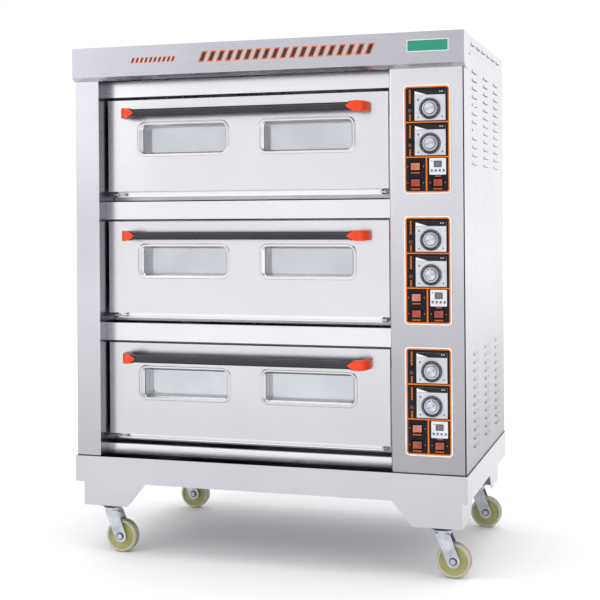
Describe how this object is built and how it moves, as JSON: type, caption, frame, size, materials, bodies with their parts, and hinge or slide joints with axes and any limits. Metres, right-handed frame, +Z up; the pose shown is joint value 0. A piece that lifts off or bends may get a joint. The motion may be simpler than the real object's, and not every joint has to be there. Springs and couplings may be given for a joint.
{
  "type": "deck oven",
  "caption": "Free-standing stacked electric baking oven with glazed drop-down doors, a control column and swivel casters.",
  "frame": {"origin": "on the floor at the middle of the footprint", "axes": "+Z up, doors face -Y, +X to the right as the user stands in front"},
  "size_m": [1.22, 0.796, 1.559],
  "materials": {
    "steel": "fine vertical grain",
    "door_steel": "fine horizontal grain",
    "chamber_steel": "rolled sheet",
    "element_steel": "oxidised sheath",
    "sole_steel": "heat-darkened plate",
    "wool": "fibrous",
    "plate_black": "printed satin",
    "controller_grey": "moulded",
    "timer_white": "moulded",
    "switch_black": "moulded",
    "lamp_red": "clear tinted",
    "knob_silver": "turned face",
    "rocker_red": "translucent",
    "window_glass": "tempered",
    "handle_black": "satin",
    "handle_orange": "gloss",
    "zinc": "zinc plated",
    "nylon": "cast nylon",
    "gland_black": "moulded"
  },
  "bodies": {
    "casing": {"base_frame": "steel", "leg_brackets": "steel", "caster_plates": "zinc", "top_cover": "steel", "header_canopy": "steel", "side_panels": "steel", "rear_panel": "steel", "front_pillar": "steel", "control_column": "steel", "deck_trims": "steel", "oven_chambers": "chamber_steel", "heating_elements": "element_steel", "sole_plates": "sole_steel", "insulation": "wool", "control_plates": "plate_black", "thermostat_bodies": "controller_grey", "timer_modules": "timer_white", "switch_bezels": "switch_black", "indicator_lamps": "lamp_red", "hinge_brackets": "zinc", "cable_gland": "gland_black", "panel_screws": "zinc"},
    "upper_door": {"upper_door_skin": "door_steel", "upper_door_liner": "chamber_steel", "upper_door_glass": "window_glass", "upper_door_handle": "handle_black", "upper_door_handle_caps": "handle_orange"},
    "upper_top_heat_knob": {"upper_top_heat_knob": "knob_silver"},
    "upper_bottom_heat_knob": {"upper_bottom_heat_knob": "knob_silver"},
    "upper_power_rocker": {"upper_power_rocker": "rocker_red"},
    "upper_lamp_rocker": {"upper_lamp_rocker": "rocker_red"},
    "upper_timer_rocker": {"upper_timer_rocker": "rocker_red"},
    "middle_door": {"middle_door_skin": "door_steel", "middle_door_liner": "chamber_steel", "middle_door_glass": "window_glass", "middle_door_handle": "handle_black", "middle_door_handle_caps": "handle_orange"},
    "middle_top_heat_knob": {"middle_top_heat_knob": "knob_silver"},
    "middle_bottom_heat_knob": {"middle_bottom_heat_knob": "knob_silver"},
    "middle_power_rocker": {"middle_power_rocker": "rocker_red"},
    "middle_lamp_rocker": {"middle_lamp_rocker": "rocker_red"},
    "middle_timer_rocker": {"middle_timer_rocker": "rocker_red"},
    "lower_door": {"lower_door_skin": "door_steel", "lower_door_liner": "chamber_steel", "lower_door_glass": "window_glass", "lower_door_handle": "handle_black", "lower_door_handle_caps": "handle_orange"},
    "lower_top_heat_knob": {"lower_top_heat_knob": "knob_silver"},
    "lower_bottom_heat_knob": {"lower_bottom_heat_knob": "knob_silver"},
    "lower_power_rocker": {"lower_power_rocker": "rocker_red"},
    "lower_lamp_rocker": {"lower_lamp_rocker": "rocker_red"},
    "lower_timer_rocker": {"lower_timer_rocker": "rocker_red"},
    "fork_front_left": {"caster_fork_front_left": "zinc"},
    "wheel_front_left": {"caster_wheel_front_left": "nylon"},
    "fork_front_right": {"caster_fork_front_right": "zinc"},
    "wheel_front_right": {"caster_wheel_front_right": "nylon"},
    "fork_rear_left": {"caster_fork_rear_left": "zinc"},
    "wheel_rear_left": {"caster_wheel_rear_left": "nylon"},
    "fork_rear_right": {"caster_fork_rear_right": "zinc"},
    "wheel_rear_right": {"caster_wheel_rear_right": "nylon"}
  },
  "joints": [
    {"name": "upper_door_hinge", "type": "hinge", "parent": "casing", "child": "upper_door", "pos_m": [-0.0735, -0.31, 1.108], "axis": [1, 0, 0], "range_deg": [0, 90]},
    {"name": "upper_top_heat_knob_turn", "type": "hinge", "parent": "casing", "child": "upper_top_heat_knob", "pos_m": [0.509, -0.39, 1.341], "axis": [0, 1, 0], "range_deg": [0, 300]},
    {"name": "upper_bottom_heat_knob_turn", "type": "hinge", "parent": "casing", "child": "upper_bottom_heat_knob", "pos_m": [0.509, -0.39, 1.242], "axis": [0, 1, 0], "range_deg": [0, 300]},
    {"name": "upper_power_rocker_tilt", "type": "hinge", "parent": "casing", "child": "upper_power_rocker", "pos_m": [0.465, -0.3815, 1.177], "axis": [0, 0, 1], "range_deg": [-18, 0]},
    {"name": "upper_lamp_rocker_tilt", "type": "hinge", "parent": "casing", "child": "upper_lamp_rocker", "pos_m": [0.465, -0.3815, 1.1305], "axis": [0, 0, 1], "range_deg": [-18, 0]},
    {"name": "upper_timer_rocker_tilt", "type": "hinge", "parent": "casing", "child": "upper_timer_rocker", "pos_m": [0.5295, -0.3815, 1.1305], "axis": [0, 0, 1], "range_deg": [-18, 0]},
    {"name": "middle_door_hinge", "type": "hinge", "parent": "casing", "child": "middle_door", "pos_m": [-0.0735, -0.31, 0.732], "axis": [1, 0, 0], "range_deg": [0, 90]},
    {"name": "middle_top_heat_knob_turn", "type": "hinge", "parent": "casing", "child": "middle_top_heat_knob", "pos_m": [0.509, -0.39, 0.968], "axis": [0, 1, 0], "range_deg": [0, 300]},
    {"name": "middle_bottom_heat_knob_turn", "type": "hinge", "parent": "casing", "child": "middle_bottom_heat_knob", "pos_m": [0.509, -0.39, 0.869], "axis": [0, 1, 0], "range_deg": [0, 300]},
    {"name": "middle_power_rocker_tilt", "type": "hinge", "parent": "casing", "child": "middle_power_rocker", "pos_m": [0.465, -0.3815, 0.804], "axis": [0, 0, 1], "range_deg": [-18, 0]},
    {"name": "middle_lamp_rocker_tilt", "type": "hinge", "parent": "casing", "child": "middle_lamp_rocker", "pos_m": [0.465, -0.3815, 0.7575], "axis": [0, 0, 1], "range_deg": [-18, 0]},
    {"name": "middle_timer_rocker_tilt", "type": "hinge", "parent": "casing", "child": "middle_timer_rocker", "pos_m": [0.5295, -0.3815, 0.7575], "axis": [0, 0, 1], "range_deg": [-18, 0]},
    {"name": "lower_door_hinge", "type": "hinge", "parent": "casing", "child": "lower_door", "pos_m": [-0.0735, -0.31, 0.356], "axis": [1, 0, 0], "range_deg": [0, 90]},
    {"name": "lower_top_heat_knob_turn", "type": "hinge", "parent": "casing", "child": "lower_top_heat_knob", "pos_m": [0.509, -0.39, 0.595], "axis": [0, 1, 0], "range_deg": [0, 300]},
    {"name": "lower_bottom_heat_knob_turn", "type": "hinge", "parent": "casing", "child": "lower_bottom_heat_knob", "pos_m": [0.509, -0.39, 0.496], "axis": [0, 1, 0], "range_deg": [0, 300]},
    {"name": "lower_power_rocker_tilt", "type": "hinge", "parent": "casing", "child": "lower_power_rocker", "pos_m": [0.465, -0.3815, 0.431], "axis": [0, 0, 1], "range_deg": [-18, 0]},
    {"name": "lower_lamp_rocker_tilt", "type": "hinge", "parent": "casing", "child": "lower_lamp_rocker", "pos_m": [0.465, -0.3815, 0.3845], "axis": [0, 0, 1], "range_deg": [-18, 0]},
    {"name": "lower_timer_rocker_tilt", "type": "hinge", "parent": "casing", "child": "lower_timer_rocker", "pos_m": [0.5295, -0.3815, 0.3845], "axis": [0, 0, 1], "range_deg": [-18, 0]},
    {"name": "swivel_front_left", "type": "hinge", "parent": "casing", "child": "fork_front_left", "pos_m": [-0.512, -0.33, 0.134], "axis": [0, 0, 1], "continuous": true},
    {"name": "roll_front_left", "type": "hinge", "parent": "fork_front_left", "child": "wheel_front_left", "pos_m": [-0.48, -0.33, 0.05], "axis": [0, 1, 0], "continuous": true},
    {"name": "swivel_front_right", "type": "hinge", "parent": "casing", "child": "fork_front_right", "pos_m": [0.5275, -0.33, 0.134], "axis": [0, 0, 1], "continuous": true},
    {"name": "roll_front_right", "type": "hinge", "parent": "fork_front_right", "child": "wheel_front_right", "pos_m": [0.5595, -0.33, 0.05], "axis": [0, 1, 0], "continuous": true},
    {"name": "swivel_rear_left", "type": "hinge", "parent": "casing", "child": "fork_rear_left", "pos_m": [-0.512, 0.27, 0.134], "axis": [0, 0, 1], "continuous": true},
    {"name": "roll_rear_left", "type": "hinge", "parent": "fork_rear_left", "child": "wheel_rear_left", "pos_m": [-0.48, 0.27, 0.05], "axis": [0, 1, 0], "continuous": true},
    {"name": "swivel_rear_right", "type": "hinge", "parent": "casing", "child": "fork_rear_right", "pos_m": [0.5275, 0.27, 0.134], "axis": [0, 0, 1], "continuous": true},
    {"name": "roll_rear_right", "type": "hinge", "parent": "fork_rear_right", "child": "wheel_rear_right", "pos_m": [0.5595, 0.27, 0.05], "axis": [0, 1, 0], "continuous": true}
  ]
}
